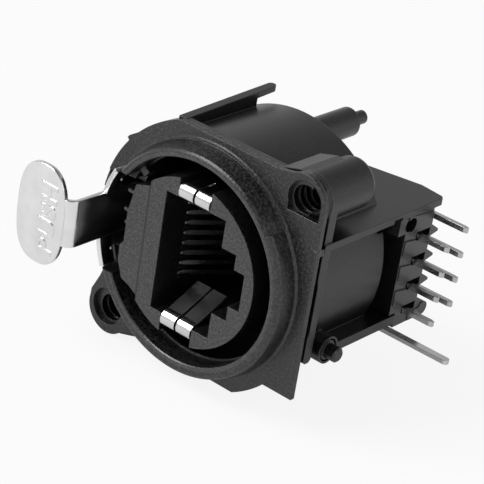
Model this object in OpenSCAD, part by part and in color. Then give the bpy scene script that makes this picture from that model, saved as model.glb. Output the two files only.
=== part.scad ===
// Latching modular jack receptacle for a panel and a circuit board.
// Origin on the axis of the round mouth, at the front face of the flange.
// -Y points out of the mouth, -X towards the latch tab, +X towards the board.

/* [Flange] */
// Width of the flange lip outside the barrel
lip_w = 1.0; // [0.5:0.05:2]
// Thickness of the flange plate
flange_t = 0.5; // [0.4:0.05:2]
// Distance of the straight board-side edge from the axis
edge_x = 12.3; // [11:0.1:14]
// Height of the flat upper edge above the axis
top_flat = 11.65; // [11:0.05:12.4]
// Depth of the flat lower edge below the axis
low_flat = 11.03; // [10.8:0.01:12.4]
// Height of the squared lower corner below the axis
corner_z = 8.6; // [6:0.1:10]
// Screw hole offset from the axis, along X and along Z
hole_offset = 9.8; // [9:0.1:12]
// Radius of the screw lugs
lug_r = 2.47; // [2:0.01:3.5]
// Radius of the opening in the plate in front of each screw hole
screw_clear_r = 1.8; // [1.4:0.05:2]
// Height of the small nib on the flange edge
nib_h = 0.3; // [0.1:0.05:0.6]

/* [Mouth ring] */
// Height of the ring above the flange face
ring_h = 2.0; // [1:0.1:4]
// Bore radius of the ring
ring_in_r = 9.62; // [9:0.01:11]
// Wall of the ring at the flange
ring_base_w = 1.43; // [1:0.01:2]
// Wall of the ring at its front rim
ring_rim_w = 1.18; // [0.6:0.01:1.6]
// Half height of the notch for the latch
notch_half = 5.05; // [4:0.05:6]
// Depth of the step round the upper part of the ring
ring_step = 0.35; // [0.1:0.05:0.6]
// Lip inside the ring, behind its bore
lip_in = 0.17; // [0.05:0.01:0.4]

/* [Housing] */
// Wall of the barrel
barrel_w = 1.6; // [1:0.1:2.4]
// Step of the barrel's bore outside the ring's bore
bore_step = 0.28; // [0.1:0.02:0.6]
// Where the barrel ends behind the flange face
barrel_end = 11.8; // [9:0.1:16]
// Thickness of the barrel's rear wall
rear_wall = 1.3; // [0.8:0.1:3]
// Width of the open slot behind the plate on the board side
slot_w = 0.62; // [0.3:0.05:1.2]
// Thickness of the strip behind that slot
strip_t = 1.0; // [0.6:0.1:2]
// Where the screw bosses end behind the flange face
boss_end = 7.3; // [4:0.1:10]
// Radius of the tapped screw holes
tap_r = 1.3; // [1:0.05:1.6]
// Pitch of the rings in the tapped holes
tap_pitch = 0.8; // [0.5:0.1:1.2]
// Top face of the hood
hood_top = 6.3; // [5.6:0.1:8]
// Wall thickness of the hood
hood_t = 0.7; // [0.5:0.05:1.5]
// Rear end of the hood
hood_end = 18.5; // [16:0.1:22]
// Lower face of the lower side wall
wall_low = 5.5; // [5:0.1:7]
// Thickness of the lower side wall
wall_t = 0.9; // [0.6:0.1:1.5]
// Radius of the rear locating peg
peg_r = 1.4; // [1:0.05:2]
// Length of the rear locating peg
peg_len = 5.05; // [2:0.1:8]
// Radius of the stub on the rear peg
stub_r = 0.66; // [0.3:0.05:1]
// Length of that stub
stub_len = 2.1; // [0.5:0.1:4]
// Place of the rear peg, across and up
peg_at = [1.5, 9.95];
// Place of the board peg, back and up
board_peg = [4.4, -5.0];
// Rear end of the lower side wall
wall_end = 14.2; // [10:0.1:15]
// Radius of the board peg
board_peg_r = 0.72; // [0.5:0.02:1.2]
// Reach of the board peg past the board side
board_peg_len = 1.2; // [0.6:0.1:3]
// Middle of the guide bar, from the axis
bar_x = 4.8; // [3:0.1:7]
// Width of the guide bar
bar_w = 0.85; // [0.5:0.05:1.5]
// Height of the guide bar's rear end above the axis
bar_z = 12.15; // [11.6:0.05:13]
// Rear end of the guide bar
bar_end = 13.2; // [10:0.1:16]

/* [Jack] */
// Radius of the jack nose
nose_r = 7.865; // [7.4:0.005:8.4]
// Width of the plug opening
port_w = 11.68; // [11.5:0.01:12]
// Height of the plug opening, from contact wall to clip wall
port_h = 6.96; // [6.6:0.01:7.4]
// Distance of the contact wall from the axis
port_x = 3.2; // [2.6:0.05:3.8]
// Depth of the plug opening
port_d = 11.6; // [10:0.1:13]
// First clip step, depth and half width
clip1 = [1.68, 3.25];
// Second clip step, depth and half width
clip2 = [1.22, 1.82];
// Distance of the seam from the axis
seam_x = 5.1; // [4.6:0.05:6]

/* [Contacts] */
// Contact spacing inside the plug opening
port_pitch = 1.02; // [1:0.01:1.05]
// Spacing of the solder tails along the rows, both rows together
tail_pitch = 1.27; // [1.2:0.01:1.3]
// Distance of the first tail row behind the flange face
row_y = 15.58; // [14:0.02:18]
// Spacing of the two tail rows
row_gap = 2.54; // [2.5:0.01:2.6]
// Side of a square solder tail
tail_w = 0.5; // [0.3:0.05:0.7]
// End of the solder tails, from the axis
tail_end = 15.6; // [14:0.1:18]
// Wire thickness and width
wire = [0.35, 0.45];
// Slant of the contact springs
spring_deg = 34; // [25:1:45]

/* [Shield springs] */
// Sheet thickness of the shield springs
shield_t = 0.3; // [0.2:0.05:0.4]
// Width of one spring finger
finger_w = 1.65; // [1:0.05:2]
// Gap between the two fingers
finger_gap = 0.25; // [0.1:0.05:0.6]
// How far the fingers run into the plug opening
leaf_run = 3.9; // [2:0.1:6]
// How far their tips stand off the side of the plug opening
leaf_in = 1.65; // [1:0.05:2.6]
// End of the ground tail, from the axis
ground_end = 18.05; // [15:0.05:20]
// Width of the ground tail
ground_w = 0.8; // [0.5:0.05:1.2]

/* [Latch] */
// Sheet thickness of the latch
latch_t = 0.5; // [0.4:0.05:1]
// How far the arm's middle plane lies inside the ring's outer rim
arm_in = 0.35; // [0:0.05:0.5]
// Width of the latch arm
arm_w = 4.65; // [4:0.05:6]
// Height of the latch's middle above the axis
latch_z = 0.3; // [-1:0.05:1]
// Distance of the tab's front face in front of the flange face
tab_y = 6.25; // [5:0.05:8]
// Width of the tab across the mouth
tab_w = 5.7; // [5:0.1:8]
// Length of the tab along the flange
tab_l = 10.2; // [8:0.1:12]
// Corner radius of the tab
tab_r = 2.45; // [1:0.05:2.8]
// Radius of the tab's bowed outer edge
tab_bow_r = 9.5; // [8:0.5:20]
// Inner radius of the bend between tab and arm
bend_in_r = 0.7; // [0.4:0.05:1.2]
// Hinge axis behind the flange face
hinge_y = 7.3; // [6:0.1:8]
// How far the hinge axis lies inside the arm's middle plane
hinge_in = 0.3; // [0:0.05:0.6]
// Radius of the hinge pin
pin_r = 0.5; // [0.3:0.05:0.7]
// Running clearance of the latch eye on its pin
eye_clear = 0.06; // [0.02:0.01:0.1]
// Wall of the latch eye
eye_w = 0.6; // [0.4:0.05:0.9]

/* [Hidden] */
$fn = 64;
e = 0.02;
fit = 0.05;
ring_base_r = ring_in_r + ring_base_w;
ring_rim_r = ring_in_r + ring_rim_w;
bore_r = ring_in_r + bore_step;
barrel_r = bore_r + barrel_w;
flange_r = barrel_r + lip_w;
arm_x = ring_rim_r - arm_in;
hinge_x = arm_x - hinge_in;
groove_y = flange_t + 0.2;
boss_r = lug_r - 0.09;
rim_y = flange_t + 0.8;
strip_y = flange_t + slot_w;
wall_in = barrel_end - rear_wall;
board_x = edge_x;
port_back = port_d - ring_h;
clip_x1 = port_h - port_x + clip1[0];
clip_x2 = clip_x1 + clip2[0];
flat_z = port_w / 2 + 1.06;
fold_r = (flat_z - port_w / 2) / 2;
fold_y = 0.7 - ring_h;
finger_half = finger_w + finger_gap / 2;
block_x = nose_r - 0.115;
run_x = 4.75;
run_y = 2.2;
bend_r = 0.6;
jog_y = [12, 14.4];
carrier_x = run_x - wire[0] / 2 - fit;
hood_low = flat_z - 0.3;
carrier_low = hood_low - 0.6;
hood_side = 6.6;
carrier_top = hood_top - hood_t;
comb_x = board_x - 1.5;
carrier_x2 = board_x - 2.9;
comb_y = wall_end + 0.1;
lobe_r = 0.68;
valley_y = row_y + row_gap - 0.62;
tooth_y = valley_y + 1.2;
pad_h = 0.14;
seat_d = 0.9;
eye_r = pin_r + eye_clear + eye_w;
slot_half = arm_w / 2 + 0.25;
mouth_half = arm_w / 2 + 1.27;
pin_half = arm_w / 2 + 1.875;
band_r = norm([arm_x, arm_w / 2]);
arm_low = latch_z - arm_w / 2;
arm_top = latch_z + arm_w / 2;
leaf_t = 0.2;
leaf_x = arm_x + latch_t / 2 + 0.24;
lugs = [[hole_offset, hole_offset], [-hole_offset, -hole_offset]];

function unit(v) = v / norm(v);
function side(a, b) = let (d = unit(b - a)) [-d[1], d[0]];
function mitre(p, i, h) =
    let (n = len(p),
         a = i == 0 ? side(p[0], p[1]) : side(p[i - 1], p[i]),
         b = i == n - 1 ? a : side(p[i], p[i + 1]),
         m = unit(a + b))
    p[i] + m * (h / (m * a));
function ribbon(p, t) = concat(
    [for (i = [0 : len(p) - 1]) mitre(p, i, t / 2)],
    [for (i = [len(p) - 1 : -1 : 0]) mitre(p, i, -t / 2)]);
function arc(c, r, a0, a1, n) =
    [for (i = [0 : n]) c + r * [cos(a0 + (a1 - a0) * i / n), sin(a0 + (a1 - a0) * i / n)]];

// A flat outline in X and Z, made solid from y0 to y1
module deep(y0, y1) {
    translate([0, y1, 0])
        rotate([90, 0, 0])
            linear_extrude(height = y1 - y0)
                children();
}

// A flat outline in Y and Z, made solid from x0 to x1
module across(x0, x1) {
    translate([x0, 0, 0])
        rotate([90, 0, 90])
            linear_extrude(height = x1 - x0)
                children();
}

// A flat outline in X and Y, made solid from z0 to z1
module tall(z0, z1) {
    translate([0, 0, z0])
        linear_extrude(height = z1 - z0)
            children();
}

// A block between two corners
module block(a, b) {
    translate(a)
        cube(b - a);
}

// A round bar along Y
module rod_y(x, z, r, y0, y1) {
    translate([x, y0, z])
        rotate([-90, 0, 0])
            cylinder(r = r, h = y1 - y0);
}

// A round bar along X
module rod_x(y, z, r, x0, x1) {
    translate([x0, y, z])
        rotate([0, 90, 0])
            cylinder(r = r, h = x1 - x0);
}

// A profile of radius and depth, turned about the mouth's axis
module turned(points) {
    rotate([-90, 0, 0])
        rotate_extrude($fn = 128)
            polygon(points);
}

// Flange outline: a circle with flat edges and two screw lugs, drawn in by an inset
module flange_outline(inset) {
    r = flange_r - inset;
    h = hole_offset;
    lug = lug_r - inset;
    top = top_flat - inset;
    low = low_flat - inset;
    difference() {
        circle(r = r, $fn = 128);
        translate([edge_x - inset, -2 * r])
            square([r, 4 * r]);
        translate([-r, top])
            square([2 * r, r]);
        translate([-r, -low - r])
            square([2 * r, r]);
    }
    for (p = lugs)
        translate(p)
            circle(r = lug);
    // Hollow run from the upper edge into its lug
    polygon([[4, h], [4, top], [h - 3.0, top], [h - 2.2, top + 0.08],
             [h - 1.5, top + 0.24], [h - 0.8, h + lug - 0.16], [h - 0.8, h]]);
    // Runs into the lower lug
    polygon([[-5, -h], [-5, -low], [3.0 - h, -low], [2.5 - h, -low - 0.15],
             [1.8 - h, -low - 0.45], [1.2 - h, -h - lug + 0.36], [1.2 - h, -h]]);
    polygon([[0.03 - h - lug, 0.3 - h], [0.1 - h - lug, 1.17 - h], [0.6 - h - lug, 2.2 - h],
             [0.93 - h - lug, 2.88 - h], [1.25 - h - lug, 3.8 - h], [1.8 - h, 4.2 - h],
             [1.8 - h, 0.3 - h]]);
}

// Screw openings in the plate: the upper one has a straight lower edge
module screw_mouth() {
    translate([hole_offset + 0.25, hole_offset + 0.1])
        intersection() {
            union() {
                circle(r = screw_clear_r);
                translate([-screw_clear_r + 0.15, -screw_clear_r])
                    square([2 * screw_clear_r - 0.15, screw_clear_r]);
            }
            translate([-screw_clear_r, 0.4 - screw_clear_r])
                square(2 * screw_clear_r);
        }
    translate([-hole_offset - 0.15, 0.2 - hole_offset])
        circle(r = screw_clear_r);
}

// Part of a disc at the latch's notch
module notch_round(r, half) {
    intersection() {
        circle(r = r, $fn = 128);
        translate([-2 * r, latch_z - half])
            square([2 * r - 8, 2 * half]);
    }
}

module front_flange() {
    color([0.03, 0.03, 0.032])
    difference() {
        union() {
            deep(0, flange_t) {
                flange_outline(0);
                // Squared lower corner on the board side
                translate([5, -corner_z])
                    square([edge_x - 5, corner_z + hole_offset]);
                rotate(140)
                    polygon([[flange_r - 0.5, -1.0], [flange_r - 0.05, -0.9], [flange_r + nib_h, 0.3],
                             [flange_r + nib_h, 0.65], [flange_r - 0.5, 0.75]]);
            }
            turned([[ring_in_r - 1, -ring_h + 0.12], [ring_in_r, -ring_h + 0.12],
                    [ring_in_r + 0.12, -ring_h], [ring_rim_r - 0.38, -ring_h],
                    [ring_rim_r - 0.19, -ring_h + 0.05], [ring_rim_r - 0.06, -ring_h + 0.18],
                    [ring_rim_r, -ring_h + 0.38], [ring_base_r - 0.06, -0.2], [ring_base_r + 0.1, 0],
                    [ring_base_r + 0.1, e], [ring_in_r - 1, e]]);
            block([edge_x - 1.2, flange_t - e, 5.4], [edge_x, strip_y - 0.12, 6.05]);
            block([edge_x - 0.45, -0.12, 5.4], [edge_x + 0.05, flange_t - 0.1, 6.05]);
        }
        rod_y(0, 0, ring_in_r, -ring_h - 1, flange_t - 0.28, $fn = 128);
        rod_y(0, 0, ring_in_r - lip_in, 0, flange_t + 1, $fn = 128);
        // The upper part of the ring is set in, from the board side to the latch
        rotate([-90, 0, 0])
            rotate([0, 0, -152])
                rotate_extrude(angle = 115, $fn = 128)
                    polygon([[ring_rim_r - ring_step - 0.26, -ring_h - 1],
                             [ring_rim_r - ring_step - 0.26, -ring_h + 0.03],
                             [ring_rim_r - ring_step - 0.08, -ring_h + 0.2],
                             [ring_base_r - 0.2, -0.12], [flange_r, -0.12], [flange_r, -ring_h - 1]]);
        deep(-e, flange_t + e)
            screw_mouth();
        // Notch of the ring and the way through the plate for the latch
        block([-flange_r - 1, -ring_h - 1, latch_z - notch_half], [-8, 0, latch_z + notch_half]);
        block([-flange_r - 1, -e, latch_z - mouth_half], [-8, flange_t + 1, latch_z + mouth_half]);
        deep(-e, flange_t + e)
            notch_round(ring_rim_r - 0.12, notch_half - 0.1);
        // Shallow seat under the latch's shoulders
        deep(-e, 0.1)
            notch_round(band_r + latch_t / 2 + 0.15, notch_half);
    }
    // Key rib inside the ring, beside the latch
    color([0.03, 0.03, 0.032])
    intersection() {
        rotate([0, -143, 0])
            block([8.85, -0.35, -0.4], [ring_in_r + 0.4, flange_t, 0.4]);
        rod_y(0, 0, ring_in_r + 0.3, -1, 2, $fn = 128);
    }
}

// A tapped hole: a round bore with grooves at the thread pitch
module tapped(p) {
    rod_y(p[0], p[1], tap_r, flange_t - 1, boss_end - 0.7);
    for (i = [0 : 4])
        rod_y(p[0], p[1], tap_r + 0.15, flange_t + 0.55 + i * tap_pitch, flange_t + 0.9 + i * tap_pitch);
}

// Boss behind a screw lug, with a fairing on its upper side
module boss(p) {
    s = sign(p[0]);
    h = hole_offset;
    translate([p[0], 0, p[1]])
        rotate([-90, 0, 0])
            rotate_extrude()
                polygon([[0, groove_y], [boss_r, groove_y], [boss_r, boss_end - 0.36],
                         [boss_r - 0.1, boss_end - 0.1], [boss_r - 0.36, boss_end], [0, boss_end]]);
    deep(groove_y, boss_end - 1.5)
        polygon([[s * 5, s * 9], [s * (h - 3.03), s * (h + 1.78)],
                 [s * (h - 1.25), s * (h + boss_r - 0.08)], [s * h, s * (h + boss_r - 0.01)],
                 [s * (h + 0.5), s * 8], [s * 8, s * 7.2]]);
}

// Thin bar over the barrel, rising a little to its round end
module guide_bar() {
    intersection() {
        across(-bar_x - bar_w, bar_w - bar_x)
            polygon([[groove_y, 9.5], [groove_y, bar_z - 0.5], [bar_end + 1, bar_z + 0.04],
                     [bar_end + 1, bar_z - 0.5], [10.45, bar_z - 0.72], [10.4, 9.5]]);
        tall(9, bar_z + 1) {
            translate([-bar_x - bar_w / 2, 0])
                square([bar_w, bar_end - bar_w / 2]);
            translate([-bar_x, bar_end - bar_w / 2])
                circle(r = bar_w / 2);
        }
    }
}

module barrel_shape() {
    rod_y(0, 0, barrel_r, groove_y, barrel_end, $fn = 128);
    // Rim behind the plate, with a narrow groove between the two
    deep(flange_t, rim_y - 0.1)
        flange_outline(0.4);
    deep(groove_y, rim_y)
        flange_outline(0.04);
    // Strip behind the slot, with a rounded lower end
    across(6, hole_offset + boss_r - 0.03)
        polygon([[strip_y, hole_offset], [strip_y, 0.25 - wall_low], [strip_y + 0.25, -wall_low],
                 [strip_y + strip_t - 0.25, -wall_low], [strip_y + strip_t, 0.25 - wall_low],
                 [strip_y + strip_t, hole_offset]]);
    for (p = lugs)
        boss(p);
    // Upper side wall and hood
    tall(hood_top - hood_t, hood_top)
        polygon([[5, strip_y], [board_x, strip_y], [board_x, hood_end - 0.3], [board_x - 0.3, hood_end],
                 [9.5, hood_end + 0.3], [4, hood_end - 0.8], [-hood_side, hood_end - 1],
                 [-hood_side, barrel_end - e], [5, barrel_end - e]]);
    block([-hood_side, barrel_end - e, -hood_low], [hood_t - hood_side, hood_end - 1, hood_top - e]);
    block([-hood_side, barrel_end - e, -hood_low], [carrier_x2, hood_end - 1, -carrier_low - fit]);
    // Lower side wall and the collar of the board peg
    block([carrier_x2 + 0.1, board_peg[0], -wall_low], [board_x, wall_end, wall_t - wall_low]);
    rod_x(board_peg[0], board_peg[1], board_peg_r + 0.6, 8.5, board_x);
    guide_bar();
    // Stepped locating peg on the rear wall
    rod_y(peg_at[0], peg_at[1], peg_r, barrel_end - e, barrel_end + peg_len);
    rod_y(peg_at[0], peg_at[1], stub_r, barrel_end, barrel_end + peg_len + stub_len);
}

module rear_housing() {
    color([0.03, 0.03, 0.032])
    union() {
        difference() {
            barrel_shape();
            rod_y(0, 0, bore_r, 0, wall_in, $fn = 128);
            // Open slot behind the plate on the board side
            block([edge_x - 1.9, flange_t - e, -corner_z - 1],
                  [edge_x + 1, strip_y, hole_offset + 1.5]);
            for (p = lugs)
                tapped(p);
            // Way out for the latch
            block([-flange_r - 1, 0, latch_z - mouth_half], [-8, 2.4, latch_z + mouth_half]);
            block([-flange_r - 1, 0, latch_z - slot_half], [-8, hinge_y + 1.5, latch_z + slot_half]);
            block([-leaf_x - 0.16, hinge_y + 1.4, arm_low], [-leaf_x + 0.16, wall_in - 0.2, arm_top]);
            translate([-hinge_x, hinge_y, latch_z - 7])
                cylinder(r = pin_r, h = 14);
            // Windows of the rear wall
            block([-5.6, wall_in - e, -4.4], [-4.2, barrel_end + e, 4.4]);
            block([-2, wall_in - e, -flat_z - shield_t - fit], [2, barrel_end + e, -flat_z + fit]);
            block([-2, wall_in - e, flat_z - fit], [2, wall_in + 0.4, flat_z + shield_t + fit]);
            // Thin edge of the upper wall between rail and comb
            block([9.9, 11, 4], [board_x + 1, 12.25, hood_top - 0.35]);
            // Pocket round the board peg
            rod_x(board_peg[0], board_peg[1], board_peg_r + 0.4, board_x - 0.8, board_x + 1);
        }
        rod_x(board_peg[0], board_peg[1], board_peg_r + 0.24, board_x - 1, board_x - 0.05);
        translate([board_x - 0.06, board_peg[0], board_peg[1]])
            rotate([0, 90, 0])
                rotate_extrude()
                    polygon([[0, 0], [board_peg_r, 0], [board_peg_r, board_peg_len - 0.1],
                             [board_peg_r - 0.16, board_peg_len + 0.06], [0, board_peg_len + 0.06]]);
    }
}

module jack_insert() {
    color([0.035, 0.035, 0.037])
    difference() {
        union() {
            rod_y(0, 0, nose_r, -ring_h, 9, $fn = 128);
            rod_y(0, 0, bore_r - 0.1, 9, wall_in, $fn = 128);
        }
        // Plug opening with its two clip steps
        block([-port_x, -ring_h - 1, -port_w / 2], [port_h - port_x, port_back, port_w / 2]);
        block([0, -ring_h - 1, -clip1[1]], [clip_x1, 7, clip1[1]]);
        block([0, -ring_h - 1, -clip2[1]], [clip_x2, 7, clip2[1]]);
        // Seat of the contact block
        block([-12, -ring_h - 1, -10], [-seam_x, 9.0, 10]);
        block([-12, 8.9, -5.6], [-seam_x, wall_in + 1, 5.6]);
        // Slots of the contact springs
        for (k = [0 : 7])
            translate([0, 0, (k - 3.5) * port_pitch])
                block([-seam_x - 1, 1.2, -0.32], [-port_x + 1, port_back - 1.6, 0.32]);
        block([-seam_x - 1, 6, -4.3], [-run_x + 0.3, wall_in + 1, 4.3]);
        // Flats and front notches for the shield springs
        for (s = [-1, 1])
            scale([1, 1, s]) {
                block([-finger_half - 0.1, -ring_h - 1, flat_z], [finger_half + 0.1, 9.05, nose_r + 1]);
                block([-finger_half - 0.1, 9, flat_z],
                      [finger_half + 0.1, wall_in + 1, flat_z + shield_t + fit]);
                block([-finger_half - 0.1, -ring_h - 1, port_w / 2 - 1],
                      [finger_half + 0.1, fold_y, nose_r + 1]);
            }
    }
}

// Block left of the seam that backs the contact springs
module contact_block() {
    color([0.035, 0.035, 0.037])
    difference() {
        union() {
            deep(-ring_h, wall_in)
                polygon([[-seam_x, -5.5], [-seam_x - 1.0, -4.95], [-block_x + 0.7, -4.65],
                         [-block_x, -3.0], [-block_x, -1.5], [-block_x + 0.4, -1.0],
                         [-block_x + 0.4, 2.0], [-block_x + 1.0, 4.95],
                         [-seam_x - 1.1, 5.1], [-seam_x, 5.5]]);
            // Small nibs on the outer edge
            for (n = [[0.1, 0.85], [-0.15, 2.05], [0.05, 3.95]])
                block([-block_x + n[0], 0.15 - ring_h, n[1] - 0.14], [-seam_x - 1, 1 - ring_h, n[1] + 0.14]);
        }
        // Shallow ribs along the back
        for (k = [-4 : 4])
            block([-nose_r - 1, 2, (k - 0.12) * port_pitch],
                  [-block_x + 0.6, wall_in + 1, (k + 0.12) * port_pitch]);
    }
}

// Outline of the comb: teeth to the rear between the far tails
function comb_edge() = [for (k = [0 : 3]) for (j = [0 : 3])
    let (z = ((2 * k) - 3.5) * tail_pitch)
    [[valley_y, z - 0.62], [tooth_y, z - 0.38], [tooth_y, z - 0.14], [valley_y, z + 0.62]][j]];

module pin_carrier() {
    color([0.035, 0.035, 0.037])
    difference() {
        union() {
            block([-carrier_x, barrel_end, -carrier_low], [carrier_x2, hood_end, carrier_top]);
            block([carrier_x2 - 0.1, comb_y, -carrier_low], [comb_x + e, hood_end, carrier_top]);
            block([carrier_x2 - 0.1, comb_y - 0.9, wall_t - wall_low + 0.1],
                  [comb_x + e, hood_end, carrier_top]);
            across(comb_x, board_x - pad_h)
                polygon(concat([[comb_y, -carrier_low], [valley_y - 0.3, -carrier_low]], comb_edge(),
                               [[valley_y - 0.1, carrier_top], [barrel_end + 0.5, carrier_top],
                                [barrel_end + 0.5, 3.9], [comb_y - 0.9, 3.9],
                                [comb_y - 0.9, wall_t - wall_low + 0.1],
                                [comb_y, wall_t - wall_low + 0.1]]));
            // Round foot at the lower rear end
            across(comb_x, board_x - 0.05) {
                translate([tooth_y, lobe_r - carrier_low + 0.05])
                    circle(r = lobe_r);
                translate([valley_y - 1, 0.07 - carrier_low])
                    square([tooth_y - valley_y + 1, 0.9]);
            }
            // Raised pads between the near tails
            for (k = [0 : 3])
                translate([0, 0, (2 * k - 2.5) * tail_pitch])
                    across(board_x - pad_h - e, board_x)
                        polygon([[comb_y - 0.8, -0.25], [row_y - 0.4, -0.8], [valley_y - 0.2, -0.8],
                                 [valley_y - 0.2, 0.7], [comb_y - 0.8, 1.2]]);
        }
        for (k = [0 : 7])
            translate([0, 0, (k - 3.5) * tail_pitch])
                block([-carrier_x - 1, row_y + (k % 2) * row_gap - tail_w / 2 - fit, -tail_w / 2 - fit],
                      [board_x + 1, row_y + (k % 2) * row_gap + tail_w / 2 + fit, tail_w / 2 + fit]);
        // Sunk seats of the near tails
        for (k = [0 : 3])
            translate([0, 0, (2 * k - 3.5) * tail_pitch])
                block([board_x - seat_d, row_y - 0.33, -0.42], [board_x + 1, valley_y - 0.15, 0.5]);
        // Blind hole in the upper front corner
        rod_x(comb_y - 0.35, carrier_top - 0.9, 0.72, board_x - 2, board_x + 1);
    }
}

// One contact: spring in the plug opening, run to the rear, tail through the board
module contact(k) {
    zp = (k - 3.5) * port_pitch;
    zt = (k - 3.5) * tail_pitch;
    y = row_y + (k % 2) * row_gap;
    c = [-run_x + bend_r, run_y];
    bow = arc(c, bend_r, 180, 360 - spring_deg, 10);
    tip = bow[10] + 5.5 * [sin(spring_deg), cos(spring_deg)];
    color([0.82, 0.72, 0.45]) {
        tall(zp - wire[1] / 2, zp + wire[1] / 2)
            polygon(ribbon(concat([[-run_x, jog_y[0] + e]], bow, [tip]), wire[0]));
        across(-run_x - wire[0] / 2, -run_x + wire[0] / 2)
            polygon([[jog_y[0], zp - wire[1] / 2], [jog_y[1], zt - wire[1] / 2],
                     [jog_y[1], zt + wire[1] / 2], [jog_y[0], zp + wire[1] / 2]]);
        block([-run_x - wire[0] / 2, jog_y[1] - e, zt - wire[1] / 2],
              [-run_x + wire[0] / 2, y + tail_w / 2, zt + wire[1] / 2]);
        tall(zt - tail_w / 2, zt + tail_w / 2)
            polygon([[-run_x - wire[0] / 2, y - tail_w / 2], [tail_end - 0.35, y - tail_w / 2],
                     [tail_end, y - 0.13], [tail_end, y + 0.13],
                     [tail_end - 0.35, y + tail_w / 2], [-run_x - wire[0] / 2, y + tail_w / 2]]);
    }
}

module contact_1() { contact(0); }
module contact_2() { contact(1); }
module contact_3() { contact(2); }
module contact_4() { contact(3); }
module contact_5() { contact(4); }
module contact_6() { contact(5); }
module contact_7() { contact(6); }
module contact_8() { contact(7); }

// Shield spring: outer strip, fold over the front edge and two fingers into the opening
module shield_spring(back) {
    zc = port_w / 2 + fold_r;
    mid = fold_r + shield_t / 2;
    fold = arc([fold_y, zc], mid, 90, 270, 12);
    path = concat(fold, [[fold_y + 0.2, port_w / 2 - shield_t / 2 - 0.04],
                         [fold_y + leaf_run, port_w / 2 - shield_t / 2 - leaf_in]]);
    for (x = [-finger_half, finger_gap / 2])
        across(x, x + finger_w)
            polygon(ribbon(concat([[0.6, flat_z + shield_t / 2]], path), shield_t));
    block([-finger_half, 0.5, flat_z], [finger_half, back, flat_z + shield_t]);
}

module shield_spring_upper() {
    color([0.75, 0.75, 0.76])
    shield_spring(wall_in + 0.35);
}

module shield_spring_lower() {
    color([0.75, 0.75, 0.76]) {
        scale([1, 1, -1])
            shield_spring(row_y + ground_w / 2 - 0.1);
        tall(-flat_z - shield_t - 0.25, -flat_z - 0.15) {
            translate([0, row_y - ground_w / 2 - 0.1])
                square([ground_end - ground_w / 2, ground_w]);
            translate([ground_end - ground_w / 2, row_y - 0.1])
                circle(r = ground_w / 2);
        }
    }
}

// Outline of the tab: round corners and a bowed outer edge
module tab_outline() {
    intersection() {
        translate([-tab_w / 2, 0]) {
            square([tab_w, tab_l - 2 * tab_r], center = true);
            square([tab_w - 2 * tab_r, tab_l], center = true);
            for (sx = [-1, 1])
                for (sz = [-1, 1])
                    translate([sx * (tab_w / 2 - tab_r), sz * (tab_l / 2 - tab_r)])
                        circle(r = tab_r);
        }
        translate([tab_bow_r - tab_w, 0])
            circle(r = tab_bow_r, $fn = 128);
    }
}

// Latch lever: tab, bend, arm with round shoulders, two hooks and an eye on the pin
module latch() {
    out = arm_x + latch_t / 2;
    ri = bend_in_r;
    color([0.8, 0.8, 0.81])
    translate([0, 0, latch_z])
    difference() {
        union() {
            deep(-tab_y, latch_t - tab_y) {
                translate([-out - ri + 0.2, 0])
                    tab_outline();
                translate([-out - ri - 2, -arm_w / 2])
                    square([2 + e, arm_w]);
            }
            // Bend from the tab to the arm
            translate([-out - ri, latch_t - tab_y + ri, -arm_w / 2])
                rotate([0, 0, -90])
                    rotate_extrude(angle = 90)
                        translate([ri, 0])
                            square([latch_t, arm_w]);
            block([-out, latch_t - tab_y + ri - e, -arm_w / 2],
                  [-out + latch_t, hinge_y - 0.4, arm_w / 2]);
            // Shoulders that fill the notch of the ring
            deep(0.05 - ring_h, -0.3)
                intersection() {
                    difference() {
                        circle(r = band_r + latch_t / 2, $fn = 128);
                        circle(r = band_r - latch_t / 2, $fn = 128);
                    }
                    for (s = [-1, 1])
                        translate([-20, s < 0 ? 0.15 - notch_half : arm_w / 2 - 0.15])
                            square([20, notch_half - arm_w / 2]);
                }
            // Hooks behind the plate and a small dimple on each shoulder
            for (s = [-1, 1]) {
                tall(s * 1.6 - 0.4, s * 1.6 + 0.4)
                    polygon([[-arm_x, 0.3], [0.25 - arm_x, 0.3], [1.2 - arm_x, 1.1],
                             [1.2 - arm_x, 1.5], [-arm_x, 1.5]]);
                rod_x(-0.55, s * 3.58, 0.2, 0.3 - arm_x, 0.8 - arm_x);
            }
            // Eye on the hinge pin
            translate([-hinge_x, hinge_y, -1.35])
                cylinder(r = eye_r, h = 2.7);
        }
        // Beside the eye the arm ends short of the pin
        for (s = [-1, 1])
            scale([1, 1, s])
                block([-out - 1, hinge_y - 1.3, 1.35], [-out + 2, hinge_y + 2, arm_w]);
        translate([-hinge_x, hinge_y, -5])
            cylinder(r = pin_r + eye_clear, h = 10);
    }
}

module latch_pin() {
    color([0.7, 0.7, 0.72])
    translate([-hinge_x, hinge_y, latch_z - pin_half])
        cylinder(r = pin_r, h = 2 * pin_half);
}

// Leaf that presses the latch arm inwards, with a leg on each side of the eye
module latch_spring() {
    face = -arm_x - latch_t / 2;
    color([0.72, 0.72, 0.74])
    translate([0, 0, latch_z])
    difference() {
        tall(0.1 - arm_w / 2, arm_w / 2 - 0.1)
            polygon(ribbon([[-leaf_x, wall_in - 0.3], [-leaf_x, hinge_y - 1.2],
                            [face - leaf_t / 2 - 0.02, hinge_y - 3.1],
                            [-leaf_x - 0.02, hinge_y - 3.8]], leaf_t));
        block([-leaf_x - 1, hinge_y - 4.3, -1.55], [1 - leaf_x, hinge_y + 1.5, 1.55]);
    }
}

front_flange();
rear_housing();
jack_insert();
contact_block();
pin_carrier();
contact_1();
contact_2();
contact_3();
contact_4();
contact_5();
contact_6();
contact_7();
contact_8();
shield_spring_upper();
shield_spring_lower();
latch();
latch_pin();
latch_spring();
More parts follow.
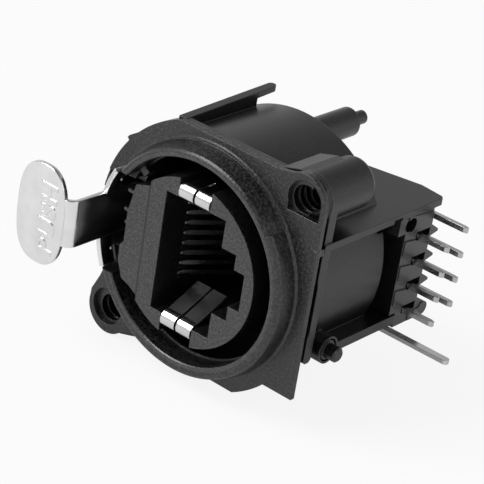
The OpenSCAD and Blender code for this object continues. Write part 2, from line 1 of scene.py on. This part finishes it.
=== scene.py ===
# %% [markdown]
# # A round panel receptacle for a modular plug
#
# The real part is a black moulded receptacle that screws to a panel. A modular jack sits in its
# round mouth, a polished push latch stands out at the side, and a comb of solder tails goes
# into a circuit board. Most shapes come from the CAD solids and stay as they are. This lesson
# gives them their finishes, models a new latch sheet and the guard behind it, puts the word on
# the latch, and sets up the floor, the light and the camera.

# %% Load the solids
import math

import bpy
from mathutils import Matrix, Vector


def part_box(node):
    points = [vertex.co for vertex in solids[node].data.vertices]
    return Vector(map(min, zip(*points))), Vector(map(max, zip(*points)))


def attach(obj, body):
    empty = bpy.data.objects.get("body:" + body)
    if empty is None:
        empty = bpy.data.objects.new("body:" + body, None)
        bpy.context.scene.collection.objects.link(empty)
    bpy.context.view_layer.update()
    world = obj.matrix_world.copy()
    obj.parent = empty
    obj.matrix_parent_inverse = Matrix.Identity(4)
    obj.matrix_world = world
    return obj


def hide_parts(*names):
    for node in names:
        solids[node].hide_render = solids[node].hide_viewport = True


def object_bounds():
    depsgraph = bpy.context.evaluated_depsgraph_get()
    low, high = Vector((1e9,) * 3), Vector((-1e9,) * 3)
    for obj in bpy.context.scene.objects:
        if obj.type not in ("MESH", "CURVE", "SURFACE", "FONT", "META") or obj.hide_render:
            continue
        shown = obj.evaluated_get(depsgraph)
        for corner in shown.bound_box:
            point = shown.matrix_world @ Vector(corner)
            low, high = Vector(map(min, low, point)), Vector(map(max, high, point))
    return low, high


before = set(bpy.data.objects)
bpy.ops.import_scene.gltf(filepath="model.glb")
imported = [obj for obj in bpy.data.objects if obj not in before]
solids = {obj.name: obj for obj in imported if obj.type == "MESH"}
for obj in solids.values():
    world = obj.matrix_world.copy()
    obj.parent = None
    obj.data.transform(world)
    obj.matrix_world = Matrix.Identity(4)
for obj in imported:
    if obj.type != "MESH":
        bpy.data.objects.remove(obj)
cad_box = [list(corner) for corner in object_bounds()]
MM = 0.001


def in_mm(lengths):
    return [round(length / MM, 2) for length in lengths]


print("solids:", len(solids), "box in mm:", [in_mm(corner) for corner in cad_box])

# %% [markdown]
# A finish is a small tree of shader nodes. Written out node by node it gets long, so three small
# classes help. The first, `Wire`, holds one output socket. You could add every Math node by hand,
# but with the operators below `1 - mask` or `grain * 0.2` adds it for you.

# %% Wire, a socket that can be summed
class Wire:
    """One output socket of a finish, ready for sums."""

    def __init__(self, graph, socket):
        self.graph = graph
        self.socket = socket

    def sum_node(self, operation, first, second=0.0):
        return self.graph.add("ShaderNodeMath", {"operation": operation}, {0: first, 1: second})

    def __add__(self, other):
        return self.sum_node("ADD", self, other)

    def __radd__(self, other):
        return self.sum_node("ADD", other, self)

    def __sub__(self, other):
        return self.sum_node("SUBTRACT", self, other)

    def __rsub__(self, other):
        return self.sum_node("SUBTRACT", other, self)

    def __mul__(self, other):
        return self.sum_node("MULTIPLY", self, other)

    def __rmul__(self, other):
        return self.sum_node("MULTIPLY", other, self)

    def __pow__(self, other):
        return self.sum_node("POWER", self, other)

    def __rpow__(self, other):
        return self.sum_node("POWER", other, self)

    def clipped(self):
        return self.graph.add("ShaderNodeClamp", {}, {"Value": self})

    def below(self, limit, slope):
        """A mask: 1 well under the limit, 0 from the limit on, and a slope between."""
        return ((limit - self) * slope).clipped()

    def above(self, limit, slope):
        """A mask: 0 up to the limit, 1 well over it, and a slope between."""
        return ((self - limit) * slope).clipped()

    def or_more(self, other):
        return self.sum_node("MAXIMUM", self, other)

    def size(self):
        return self.sum_node("ABSOLUTE", self)


print("wire helpers:", [name for name in vars(Wire) if not name.startswith("_")])

# %% [markdown]
# `Graph` is one tree of nodes. Every kind of node could have a helper of its own, but all of them
# need the same three things: a type, its settings and what goes into its sockets. So one method,
# `add`, serves them all. `ray` gives the mask of one kind of ray, for the floor and the sky.

# %% Graph, a tree of nodes
class Graph:
    """One tree of shader nodes."""

    def __init__(self, tree):
        self.tree = tree

    def add(self, kind, settings, sockets, output=0):
        node = self.tree.nodes.new(kind)
        for key, value in settings.items():
            setattr(node, key, value)
        for key, value in sockets.items():
            self.feed(node.inputs[key], value)
        return Wire(self, node.outputs[output])

    def feed(self, socket, value):
        if isinstance(value, Wire):
            self.tree.links.new(value.socket, socket)
        else:
            socket.default_value = value

    def ray(self, kind):
        return self.add("ShaderNodeLightPath", {}, {}, "Is %s Ray" % kind)


print("graph helpers:", [name for name in vars(Graph) if not name.startswith("_")])

# %% [markdown]
# `Finish` is the graph of one material. A picture would have to be unwrapped onto each solid and
# would show seams. So the patterns read Object coordinates, the part's own space: they need no
# unwrapping and stay put when the camera moves.

# %% Finish, the graph of one material
class Finish(Graph):
    """One material, with its Principled shader ready to be fed."""

    def __init__(self, name):
        self.slot = name
        self.material = bpy.data.materials.new(name)
        self.material.use_nodes = True
        super().__init__(self.material.node_tree)
        self.shader = self.tree.nodes["Principled BSDF"]

    def set(self, **sockets):
        for key, value in sockets.items():
            self.feed(self.shader.inputs[key.replace("_", " ")], value)

    def place(self):
        return self.add("ShaderNodeTexCoord", {}, {}, "Object")

    def noise(self, size_mm, detail=2.0, stretch=(1, 1, 1), rough=0.5):
        spread = self.add("ShaderNodeMapping", {}, {"Vector": self.place(), "Scale": stretch})
        return self.add("ShaderNodeTexNoise", {}, {"Vector": spread, "Scale": 1 / (size_mm * MM),
                                                   "Detail": detail, "Roughness": rough})

    def along(self, axis):
        """Distance from the origin along one axis, in millimetres."""
        return self.add("ShaderNodeSeparateXYZ", {}, {0: self.place()}, axis) * (1 / MM)

    def from_axis(self):
        """Distance from the axis of the round mouth, in millimetres."""
        return (self.along("X") ** 2 + self.along("Z") ** 2) ** 0.5

    def soft_edges(self, radius_mm):
        """Normals as if every edge had a small round, and a mask that shows those edges."""
        round_normal = self.add("ShaderNodeBevel", {"samples": 6}, {"Radius": radius_mm * MM})
        flat_normal = self.add("ShaderNodeNewGeometry", {}, {}, "Normal")
        same = self.add("ShaderNodeVectorMath", {"operation": "DOT_PRODUCT"},
                        {0: round_normal, 1: flat_normal}, "Value")
        return round_normal, same.below(1, slope=6)

    def blend_colour(self, mask, first, second):
        return self.add("ShaderNodeMix", {"data_type": "RGBA"}, {0: mask, 6: first, 7: second}, 2)

    def bump(self, strength, depth_mm, height, normal):
        return self.add("ShaderNodeBump", {}, {"Strength": strength, "Distance": depth_mm * MM,
                                               "Height": height, "Normal": normal})


print("finish helpers:", [name for name in vars(Finish) if not name.startswith("_")])

# %% [markdown]
# A CAD solid arrives with a plain material. You could set each one up by hand in the material tab.
# `dress` takes the plain material off and puts one finish on all the solids that share it, so a
# change of the finish reaches them all. `grey` and `toned` are short ways to write a colour.

# %% Dressing the solids
def grey(level):
    return (level, level, level, 1)


def toned(colour, share):
    """The same colour, lighter or darker."""
    return tuple(share * channel for channel in colour[:3]) + (1,)


def dress(finish, *names):
    """Gives a finish to CAD solids."""
    for name in names:
        solids[name].data.materials.clear()
        solids[name].data.materials.append(finish.material)
    print(finish.slot, "on", len(names), "solids")


print("solids to dress:", sorted(solids))

# %% [markdown]
# The shell is glass-filled black plastic. Its mould was spark-eroded, so the surface has an even
# grain about a quarter of a millimetre across that breaks the light into a dull grey sheen. The
# grain is strongest on the front and fades on the barrel, and the front's colour is painted lighter
# than the barrel's: painted light. Edges are a little rounder and have been smoothed in handling,
# most of all the rim that plugs slide over. Those edges and that rim are also painted lighter: a
# painted highlight. A colour picture could show that, but noise in the part's own space follows
# every face without a seam. A Bevel node gives the small rounds to the normals, so the solids keep
# their exact shape.

# %% Moulded plastic
RIM_RADIUS, NOSE_FRONT, SEAM_HALF = 10.1, -1.8, 0.13
CLOUD_MM, SPECK_MM = 2.4, 0.35
LEAST_GRAIN_AND_FRONT_LIGHT, CONTRAST, PAINTED_HIGHLIGHT_SHARE = 0.25, 5.5, 0.35
NOWHERE = -30.0


def moulded_plastic(name, dark, pale, rough, ior, grain_mm, grain_depth, round_mm, front, rim, seam):
    """Grain is full and the colour is painted lighter, as painted light, before `front`; the rim is smoothed
    by wear and painted lighter, as a painted highlight, before `rim` along Y; a seam runs at `seam` along X.
    """
    finish = Finish(name)
    normal, edge = finish.soft_edges(round_mm)
    back = finish.along("Y")
    # Before `front` the grain is full and the colour is painted lighter than behind it: painted light on the
    # front faces.
    full = back.below(front, slope=4) * (1 - LEAST_GRAIN_AND_FRONT_LIGHT) + LEAST_GRAIN_AND_FRONT_LIGHT
    # The rim's inner edge is painted lighter, a painted highlight, and made smoother by wear.
    painted_edge_light = back.below(rim, slope=6) * finish.from_axis().below(RIM_RADIUS, slope=8)
    from_seam = (finish.along("X") - seam).size()
    gap = from_seam.below(SEAM_HALF, slope=16) * back.below(NOSE_FRONT, slope=9)
    grain = finish.noise(grain_mm, detail=3.0, rough=0.65)
    cloud = finish.noise(CLOUD_MM, detail=4.0)
    speck = finish.noise(SPECK_MM, detail=1.0).above(0.6778, slope=9)
    # Edges and the rim get a lighter colour, a painted highlight, and a lower roughness from wear.
    wear_and_painted_highlight = (edge * (cloud * 1.6 - 0.1)).clipped().or_more(painted_edge_light * (cloud + 0.3))
    tone = ((grain - 0.5) * CONTRAST + cloud * 0.3 + 0.1).clipped() * full
    shade = finish.blend_colour(tone * (1 - gap), dark, pale)
    shade = finish.blend_colour(wear_and_painted_highlight * PAINTED_HIGHLIGHT_SHARE, shade, toned(pale, 3))
    dullness = rough + grain * 0.16 - 0.08 - wear_and_painted_highlight * 0.12 + speck * 0.06 + gap * 0.5
    finish.set(Base_Color=shade, IOR=ior, Roughness=dullness.clipped(),
               Normal=finish.bump(0.6, grain_depth, grain * full + speck * 0.2, normal))
    return finish


shell = moulded_plastic("shell_plastic", grey(0.001), (0.036, 0.036, 0.0365, 1), rough=0.33, ior=1.62,
                        grain_mm=0.24, grain_depth=0.06, round_mm=0.12, front=0.8, rim=-1.75, seam=NOWHERE)
dress(shell, "front_flange", "rear_housing")

# %% [markdown]
# The jack nose, the block behind its contacts and the comb are moulded from a second plastic. It
# is a shade lighter and has a finer grain, because these pieces come out of polished moulds. The
# block meets the nose in a fine seam. It could be cut as a groove, but it is hardly wider than a
# hair and catches no light, so a dark and very dull line in the finish does the same.

# %% Jack plastic
seam_x = round(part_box("contact_block")[1].x / MM, 3)
insert = moulded_plastic("insert_plastic", grey(0.003), (0.055, 0.055, 0.0556, 1), rough=0.3, ior=1.72,
                         grain_mm=0.22, grain_depth=0.032, round_mm=0.07, front=-1.7, rim=NOWHERE,
                         seam=seam_x)
dress(insert, "jack_insert", "contact_block", "pin_carrier")
print("seam at", seam_x, "mm")

# %% [markdown]
# The latch is stamped from sheet steel, plated and tumbled until it shines. A mirror with no
# roughness would look like glass. The real sheet has faint rolling lines and is a little uneven where
# the press held it. Long thin noise makes the lines, and broad noise bends the reflections slightly.
# The latch's round edges are painted darker: a painted reflection of the dark that they face. The
# same finish in other tones serves the shield springs.

# %% Polished sheet
BROAD_MM, SMUDGE_MM, SMUDGE_TONE = 3.5, 1.6, 0.86
SPRING_END = 5.0


def polished_sheet(name, colour, rough, line_mm, lines, wave, round_mm, spring=None, painted_edge_light=0.0):
    """With a `spring` colour, the half towards the latch has that colour. The last share paints the edges
    darker, a painted reflection.
    """
    finish = Finish(name)
    normal, edge = finish.soft_edges(round_mm)
    streak = finish.noise(line_mm, detail=2.0, stretch=lines)
    broad = finish.noise(BROAD_MM, detail=1.0)
    smudge = finish.noise(SMUDGE_MM, detail=3.0)
    shade = finish.blend_colour(smudge.above(0.2222, slope=1.8), colour, toned(colour, SMUDGE_TONE))
    if spring:
        shade = finish.blend_colour(finish.along("X").above(SPRING_END, slope=0.5), spring, shade)
    # Round edges painted darker: a painted reflection.
    shade = finish.blend_colour(edge * painted_edge_light, shade, grey(0.2))
    dullness = rough + streak * 0.1 + smudge * 0.08 - edge * 0.05
    finish.set(Base_Color=shade, Metallic=1.0, Roughness=dullness.clipped(),
               Normal=finish.bump(0.35, wave, broad + streak * 0.15, normal))
    return finish


latch_steel = polished_sheet("latch_steel", grey(0.93), rough=0.1, line_mm=0.12,
                             lines=(1, 1, 0.08), wave=0.05, round_mm=0.14, painted_edge_light=0.6)
shield_sheet = polished_sheet("shield_sheet", grey(0.78), rough=0.1, line_mm=0.1,
                              lines=(1, 0.1, 0.1), wave=0.02, round_mm=0.06)
dress(shield_sheet, "shield_spring_upper", "shield_spring_lower", "latch_spring")

# %% [markdown]
# The contacts are stamped too. Their tails are tinned, which leaves a bright but slightly milky
# skin, and the springs in the plug opening have a darker plating, and their colour is painted darker
# still as painted shade of the deep opening. Two materials would need a cut through every contact.
# So the colour changes along X in one finish. The hinge pin is ground steel with lines round it.

# %% Contacts and pin
# The springs' dark grey is their plating and painted shade of the opening.
tinned = polished_sheet("tinned_contact", grey(0.62), rough=0.16, line_mm=0.08,
                        lines=(0.1, 1, 1), wave=0.03, round_mm=0.06, spring=grey(0.22))
dress(tinned, *["contact_%d" % k for k in range(1, 9)])
pin_steel = polished_sheet("pin_steel", (0.6, 0.6, 0.62, 1), rough=0.22, line_mm=0.06,
                           lines=(0.1, 0.1, 1), wave=0.01, round_mm=0.05)
dress(pin_steel, "latch_pin")

# %% [markdown]
# Two pieces are modelled here: a new sheet for the latch, and later the guard behind it. The sheet
# starts with its tab, the oval that the thumb pushes. A stretched circle would be too pointed at its
# ends. So the corners of a square are rounded until they almost meet, a little fuller than a circle.
# The square is then stretched to the oval and pulled to the thickness of the sheet. A new primitive
# keeps its place in its object, so `fresh` puts it into the mesh, as in the solids.

# %% Tab
SHEET = 0.5
TAB_X, TAB_Z = -13.95, 0.12
TAB_HALF_WIDTH, TAB_HALF_HEIGHT = 2.95, 4.92
FACING_FRONT = (math.pi / 2, 0, 0)
SAME_PLACE = 0.001 * MM


def fresh(name, spread=(1, 1, 1)):
    """The object just added, named, with its size and place put into its mesh."""
    piece = bpy.context.object
    piece.name = name
    piece.scale = spread
    bpy.ops.object.transform_apply(location=True, rotation=True, scale=True)
    return piece


def open_edit():
    """Goes into edit mode with everything selected."""
    bpy.ops.object.mode_set(mode="EDIT")
    bpy.ops.mesh.select_all(action="SELECT")


def pull(shift):
    """Extrudes what is selected, in millimetres."""
    bpy.ops.mesh.extrude_region_move(TRANSFORM_OT_translate={"value": Vector(shift) * MM})


def close_edit():
    """Merges doubles, turns all faces outwards and leaves edit mode."""
    bpy.ops.mesh.select_all(action="SELECT")
    bpy.ops.mesh.remove_doubles(threshold=SAME_PLACE)
    bpy.ops.mesh.normals_make_consistent(inside=False)
    bpy.ops.object.mode_set(mode="OBJECT")


tab_front = round(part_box("latch")[0].y / MM, 3)
bpy.ops.object.select_all(action="DESELECT")
bpy.ops.mesh.primitive_plane_add(size=2.0, location=Vector((TAB_X, tab_front, TAB_Z)) * MM,
                                 rotation=FACING_FRONT)
open_edit()
bpy.ops.mesh.bevel(offset=0.99, segments=32, profile=0.59, affect="VERTICES")
bpy.ops.object.mode_set(mode="OBJECT")
tab = fresh("tab", (TAB_HALF_WIDTH * MM, TAB_HALF_HEIGHT * MM, 1))
open_edit()
pull((0, SHEET, 0))
close_edit()
print("tab:", len(tab.data.polygons), "faces, front at", tab_front, "mm")

# %% [markdown]
# The arm is one strip of sheet. It leaves the tab, bends by a right angle and runs back to the hinge.
# Three boxes could stand for it, but they would have no bend. So a rectangle goes the way of the
# strip: a short pull inside the tab, a spin round the bend and a long pull. The pin in the frame
# tells where the hinge is.

# %% Arm
ARM_OUT, ARM_HALF, BEND = -10.7, 2.325, 0.7
START_INSIDE, ARM_TO_HINGE = 0.8, 1.3


def sheet_between(name, low, high):
    """A flat rectangle between two corners that share one coordinate, in millimetres."""
    bpy.ops.object.select_all(action="DESELECT")
    size = (Vector(high) - Vector(low)) * MM
    flat = min(range(3), key=lambda k: size[k])
    turn = ((0, math.pi / 2, 0), FACING_FRONT, (0, 0, 0))[flat]
    spread = ((size.z, size.y, 1), (size.x, size.z, 1), (size.x, size.y, 1))[flat]
    bpy.ops.mesh.primitive_plane_add(size=1.0, location=(Vector(low) + Vector(high)) * MM / 2, rotation=turn)
    return fresh(name, spread)


def spin(centre, axis, angle, steps):
    """Carries what is selected round an axis. The operator counts angles against the right-hand rule."""
    bpy.ops.mesh.spin(steps=steps, angle=-math.radians(angle), center=Vector(centre) * MM, axis=axis)


hinge_x, hinge_y, hinge_z = (round((low + high) / 2 / MM, 3) for low, high in zip(*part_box("latch_pin")))
arm_end = hinge_y - ARM_TO_HINGE
bend_x, bend_y = ARM_OUT - BEND, tab_front + SHEET + BEND
start_x = bend_x - START_INSIDE
arm = sheet_between("arm", (start_x, tab_front, hinge_z - ARM_HALF),
                    (start_x, tab_front + SHEET, hinge_z + ARM_HALF))
open_edit()
pull((START_INSIDE, 0, 0))
spin((bend_x, bend_y, 0), axis=(0, 0, 1), angle=90, steps=12)
pull((0, arm_end - bend_y, 0))
close_edit()
print("arm:", len(arm.data.polygons), "faces, hinge at", (hinge_x, hinge_y, hinge_z), "mm")

# %% [markdown]
# At the hinge the strip narrows to a neck and is rolled to an eye round the pin. The eye could be
# spun like the bend, but it is closed and hidden, so a disc with a hole is enough. A Boolean cuts
# the hole. The neck keeps a hair's breadth off the arm's faces, because a Boolean has trouble with
# faces in one plane.

# %% Neck and eye
NECK_HALF, NECK_TO_HINGE, INTO_ARM, OFF_FACE = 1.3, 0.7, 0.5, 0.02
EYE_RADIUS, EYE_HEIGHT, HOLE_RADIUS, HOLE_HEIGHT = 1.16, 2.7, 0.56, 4


def box_between(name, low, high):
    """A box between two corners in millimetres."""
    bpy.ops.object.select_all(action="DESELECT")
    low, high = Vector(low) * MM, Vector(high) * MM
    bpy.ops.mesh.primitive_cube_add(size=1.0, location=(low + high) / 2)
    return fresh(name, high - low)


def disc(name, centre, radius, depth, turn=(0, 0, 0)):
    """A round block in millimetres."""
    bpy.ops.object.select_all(action="DESELECT")
    bpy.ops.mesh.primitive_cylinder_add(vertices=96, radius=radius * MM, depth=depth * MM,
                                        location=Vector(centre) * MM, rotation=turn)
    return fresh(name)


def choose(piece):
    """Selects one piece alone."""
    bpy.ops.object.select_all(action="DESELECT")
    bpy.context.view_layer.objects.active = piece
    piece.select_set(True)


def apply_modifier(piece, kind, **settings):
    choose(piece)
    step = piece.modifiers.new(kind.lower(), kind)
    for key, value in settings.items():
        setattr(step, key, value)
    bpy.ops.object.modifier_apply(modifier=step.name)


def carve(piece, operation, tool):
    """Joins or cuts a piece with another one, which is then thrown away."""
    apply_modifier(piece, "BOOLEAN", operation=operation, solver="EXACT", object=tool)
    bpy.data.objects.remove(tool)


hinge = (hinge_x, hinge_y, hinge_z)
neck = box_between("neck", (ARM_OUT + OFF_FACE, arm_end - INTO_ARM, hinge_z - NECK_HALF),
                   (ARM_OUT + SHEET - OFF_FACE, hinge_y - NECK_TO_HINGE, hinge_z + NECK_HALF))
eye = disc("eye", hinge, EYE_RADIUS, EYE_HEIGHT)
carve(eye, "DIFFERENCE", disc("pin_hole", hinge, HOLE_RADIUS, HOLE_HEIGHT))
print("eye:", len(eye.data.polygons), "faces")

# %% [markdown]
# The shoulders close the notch of the ring on both sides of the arm. Flat plates would leave a step
# against the ring. So a small rectangle is turned to its first angle about the mouth's axis and spun
# from there along the ring. With no window open, transform.rotate turns the other way, hence the
# minus sign.

# %% Shoulders
BAND, SHOULDER_FRONT, SHOULDER_BACK = 10.706, -1.95, -0.3
shoulders = []
for first_angle, sweep in ((13.4, 15.7), (-10.1, -15.4)):
    shoulder = sheet_between("shoulder", (-BAND - SHEET / 2, SHOULDER_FRONT, 0),
                             (-BAND + SHEET / 2, SHOULDER_BACK, 0))
    open_edit()
    bpy.ops.transform.rotate(value=-math.radians(first_angle), orient_axis="Y", center_override=(0, 0, 0))
    spin((0, 0, 0), axis=(0, 1, 0), angle=sweep, steps=8)
    close_edit()
    shoulders.append(shoulder)
print("shoulders:", [len(shoulder.data.polygons) for shoulder in shoulders], "faces")

# %% [markdown]
# Two hooks behind the flange catch the groove of a cable's connector. It has to slide past them, so
# their front slopes. A wedge could be drawn point by point, but a box is quicker: its front inner
# corners are selected by their place and moved back. The second hook is a copy.

# %% Hooks
HOOK_FRONT, HOOK_BACK, HOOK_SIDE = 2.0, 3.3, 1.6
HOOK_REACH, HOOK_HALF, HOOK_SLOPE = 1.4, 0.4, 0.9
arm_middle = ARM_OUT + SHEET / 2
lower_z = hinge_z - HOOK_SIDE
lower_hook = box_between("lower_hook", (arm_middle, HOOK_FRONT, lower_z - HOOK_HALF),
                         (arm_middle + HOOK_REACH, HOOK_BACK, lower_z + HOOK_HALF))
bpy.ops.object.mode_set(mode="EDIT")
bpy.ops.mesh.select_all(action="DESELECT")
bpy.ops.object.mode_set(mode="OBJECT")
for corner in lower_hook.data.vertices:
    inner = corner.co.x > (arm_middle + HOOK_REACH / 2) * MM
    corner.select = inner and corner.co.y < (HOOK_FRONT + HOOK_BACK) / 2 * MM
bpy.ops.object.mode_set(mode="EDIT")
bpy.ops.transform.translate(value=(0, HOOK_SLOPE * MM, 0))
bpy.ops.object.mode_set(mode="OBJECT")
choose(lower_hook)
bpy.ops.object.duplicate(linked=False)
bpy.ops.transform.translate(value=(0, 0, 2 * HOOK_SIDE * MM))
upper_hook = fresh("upper_hook")
print("hooks at", round(lower_z, 2), "and", round(lower_z + 2 * HOOK_SIDE, 2), "mm")

# %% [markdown]
# The limbs get their round edges one by one, because a Bevel on the joined sheet would trip over the
# short edges where limbs meet. A dimple stands on each shoulder. Then the limbs could just be laid
# into one object, but faces that share a place flicker. So a Boolean makes one closed sheet of them,
# and the sheet takes the place of the solid's latch.

# %% Latch sheet
SHEET_ROUND, DIMPLE_RADIUS = 0.08, 0.22
DIMPLES = ((-9.8, -0.55, 3.88), (-10.02, -0.55, -3.28))
SMOOTH_ANGLE = math.radians(35)


def round_edges(piece, width_mm, segments):
    apply_modifier(piece, "BEVEL", width=width_mm * MM, segments=segments, limit_method="ANGLE")


def hang(name, piece, finish, body):
    """Smooths a piece, gives it a finish and lets it ride on a body."""
    choose(piece)
    bpy.ops.object.shade_smooth_by_angle(angle=SMOOTH_ANGLE)
    piece.name = name
    piece.data.materials.clear()
    piece.data.materials.append(finish.material)
    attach(piece, body)
    print(name, "has", len(piece.data.polygons), "faces")
    return piece


limbs = [arm, neck] + shoulders + [lower_hook, upper_hook]
for limb in [tab] + limbs:
    round_edges(limb, SHEET_ROUND, segments=3)
for place in DIMPLES:
    bpy.ops.object.select_all(action="DESELECT")
    bpy.ops.mesh.primitive_uv_sphere_add(segments=24, ring_count=12, radius=DIMPLE_RADIUS * MM,
                                         location=Vector(place) * MM)
    limbs.append(fresh("dimple"))
for limb in limbs + [eye]:
    carve(tab, "UNION", limb)
latch_sheet = hang("latch_sheet", tab, latch_steel, "latch")
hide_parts("latch")

# %% [markdown]
# The guard is a cover outside the barrel, which closes the way that the latch swings through. Without
# it the bright room would show past the arm. You could build it from five plates, but a block is
# quicker: it is cut round to follow the flange, hollowed by a box for the arm's swing and opened in
# front by a second one. Both boxes reach well past the block, so that they cut right through.

# %% Latch guard
FLANGE_ROUND, GUARD_ROUND = 12.45, 0.06
GUARD_OUT, GUARD_IN, GUARD_FRONT = -12.6, -10.6, 0.05
HOLLOW_OUT, HOLLOW_BACK, HOLLOW_HALF = -11.75, 9.05, 3.55
SIDE_WALL, BACK_WALL = 0.35, 0.55
WINDOW_TOP, WINDOW_BACK = 2.03, 0.71
PAST_OUT, PAST_IN, PAST_FRONT = -14, -8, -1
hollow_low, hollow_top = hinge_z - HOLLOW_HALF, hinge_z + HOLLOW_HALF
guard = box_between("guard", (GUARD_OUT, GUARD_FRONT, hollow_low - SIDE_WALL),
                    (GUARD_IN, HOLLOW_BACK + BACK_WALL, hollow_top + SIDE_WALL))
carve(guard, "INTERSECT", disc("flange_round", (0, 5, 0), FLANGE_ROUND, 20, FACING_FRONT))
carve(guard, "DIFFERENCE", box_between("swing", (HOLLOW_OUT, PAST_FRONT, hollow_low),
                                       (PAST_IN, HOLLOW_BACK, hollow_top)))
carve(guard, "DIFFERENCE", box_between("window", (PAST_OUT, PAST_FRONT, hollow_low),
                                       (PAST_IN, WINDOW_BACK, WINDOW_TOP)))
round_edges(guard, GUARD_ROUND, segments=2)
hang("latch_guard", guard, shell, "housing")

# %% [markdown]
# A plain word stands on the tab, so that the user knows what to do with it. The letters could be
# drawn as outlines, but Blender's own text object has them ready, with a little thickness and a
# small bevel. It is made a mesh before it is turned to lie on the tab, so its object stays at the
# origin like the solids.

# %% Word on the tab
def word_on_tab(text, height_mm, middle, lift_mm, bevel_mm, spacing):
    capital_share = 0.7
    bpy.ops.object.select_all(action="DESELECT")
    bpy.ops.object.text_add()
    word = bpy.context.object
    word.data.body = text
    word.data.align_x = "CENTER"
    word.data.align_y = "CENTER"
    word.data.size = height_mm * MM / capital_share
    word.data.space_character = spacing
    word.data.extrude = lift_mm * MM
    word.data.bevel_depth = bevel_mm * MM
    word.data.bevel_resolution = 3
    bpy.ops.object.convert(target="MESH")
    upwards = Matrix(((0, -1, 0), (0, 0, -1), (1, 0, 0))).to_4x4()
    word.data.transform(Matrix.Translation(Vector(middle) * MM) @ upwards)
    hang("tab_word", word, latch_steel, "latch")


word_on_tab("PUSH", 1.9, (-12.92, tab_front, 0.0), lift_mm=0.01, bevel_mm=0.1, spacing=1.13)

# %% [markdown]
# The part lies on a pale floor under soft light, as for a catalogue. More light could make the floor
# white, but the part would then be too bright. So the floor glows by itself: to the camera it is
# nearly white and keeps a trace of the part's shadow. Shiny surfaces see more of that shadow, so
# faces that look down on it stay dark. For all other light the floor is plain pale paint.

# %% Floor
FLOOR_GAP, PAPER_MM = 0.2, 40.0
GLOW_TO_CAMERA, GLOW_TO_GLOSS = 0.88, 0.15
bpy.ops.object.select_all(action="DESELECT")
bpy.ops.mesh.primitive_plane_add(size=4.0, location=(0, 0, cad_box[0][2] - FLOOR_GAP * MM))
floor = bpy.context.object
floor.name = "floor"
pale = Finish("pale_floor")
paper = pale.noise(PAPER_MM, detail=2.0)
seen = (pale.ray("Camera") * GLOW_TO_CAMERA).or_more(pale.ray("Glossy") * GLOW_TO_GLOSS)
pale.set(Base_Color=pale.blend_colour(paper, grey(0.8), grey(0.84)), Roughness=0.9)
glow = pale.add("ShaderNodeEmission", {}, {"Color": grey(1), "Strength": 1.0})
mix = pale.add("ShaderNodeMixShader", {}, {0: seen, 1: Wire(pale, pale.shader.outputs[0]), 2: glow})
pale.feed(pale.tree.nodes["Material Output"].inputs["Surface"], mix)
floor.data.materials.append(pale.material)
print("floor at", round(floor.location.z / MM, 2), "mm")

# %% [markdown]
# The sky is white to the camera. Shiny surfaces see it darken overhead, as a studio's ceiling does.
# That gives the metal's round edges a dark line, and the ring a darker wall than the faces beside
# it. A photographed studio could do the same, but a few nodes need no file. All other light from the
# sky is held lower, so hollows go black.

# %% Sky
FILL_LEVEL, GLOSS_LEVEL, CEILING_FALL = 0.4, 0.45, 0.8
world = bpy.data.worlds.new("studio")
bpy.context.scene.world = world
world.use_nodes = True
sky = Graph(world.node_tree)
facing = sky.add("ShaderNodeTexCoord", {}, {}, "Generated")
height = sky.add("ShaderNodeSeparateXYZ", {}, {0: facing}, "Z")
to_gloss = sky.ray("Glossy") * (GLOSS_LEVEL - height.clipped() * CEILING_FALL)
level = (FILL_LEVEL + to_gloss).or_more(sky.ray("Camera"))
sky.feed(sky.tree.nodes["Background"].inputs["Strength"], level)
sky.feed(sky.tree.nodes["Background"].inputs["Color"], grey(1))
print("sky:", len(sky.tree.nodes), "nodes")

# %% [markdown]
# Two large square lamps give the soft light. The key stands at the front left, so the shadow falls to
# the back right. A weak one at the side lights the board side. Small lamps or a sun would make hard
# sparkles in the grain.

# %% Lamps
def soft_lamp(name, place, size, power):
    lamp = bpy.data.lights.new(name, "AREA")
    lamp.shape = "SQUARE"
    lamp.size = size
    lamp.energy = power
    holder = bpy.data.objects.new(name, lamp)
    bpy.context.scene.collection.objects.link(holder)
    holder.location = place
    holder.rotation_euler = (-Vector(place)).to_track_quat("-Z", "Y").to_euler()
    return holder


lamps = [soft_lamp("key", place=(-0.4, -0.5, 0.65), size=0.5, power=6.0),
         soft_lamp("side", place=(0.7, -0.05, 0.35), size=0.4, power=0.6)]
print("lamps:", [lamp.name for lamp in lamps])

# %% [markdown]
# The camera stands where the photographer stood. You could move it about until the picture looks
# right. Here its place and its turn were worked out from the known sizes of the jack and the solder
# tails, which is closer. The turn has three angles: round the part, up, and a slight roll.

# %% Camera
PHOTO_PIXELS, FOCAL_PIXELS, SENSOR_MM = 484, 2041.86, 36
STAND_MM = (99.325, -127.214, 81.977)
azimuth, elevation, roll = (math.radians(a) for a in (36.754, 26.304, 9.340))
forward = Vector((-math.sin(azimuth) * math.cos(elevation), math.cos(azimuth) * math.cos(elevation),
                  -math.sin(elevation)))
right = Vector((math.cos(azimuth), math.sin(azimuth), 0))
down = forward.cross(right)
across = math.cos(roll) * right - math.sin(roll) * down
up = -(math.sin(roll) * right + math.cos(roll) * down)
turn = Matrix((across, up, -forward)).transposed().to_4x4()
camera = bpy.data.objects.new("camera", bpy.data.cameras.new("camera"))
bpy.context.scene.collection.objects.link(camera)
camera.data.sensor_width = SENSOR_MM
camera.data.lens = FOCAL_PIXELS / PHOTO_PIXELS * SENSOR_MM
camera.data.clip_start = 0.01
camera.matrix_world = Matrix.Translation(Vector(STAND_MM) * MM) @ turn
bpy.context.scene.camera = camera
bpy.context.scene.view_settings.view_transform = "Standard"
print("camera lens:", round(camera.data.lens, 2), "mm")

# %% [markdown]
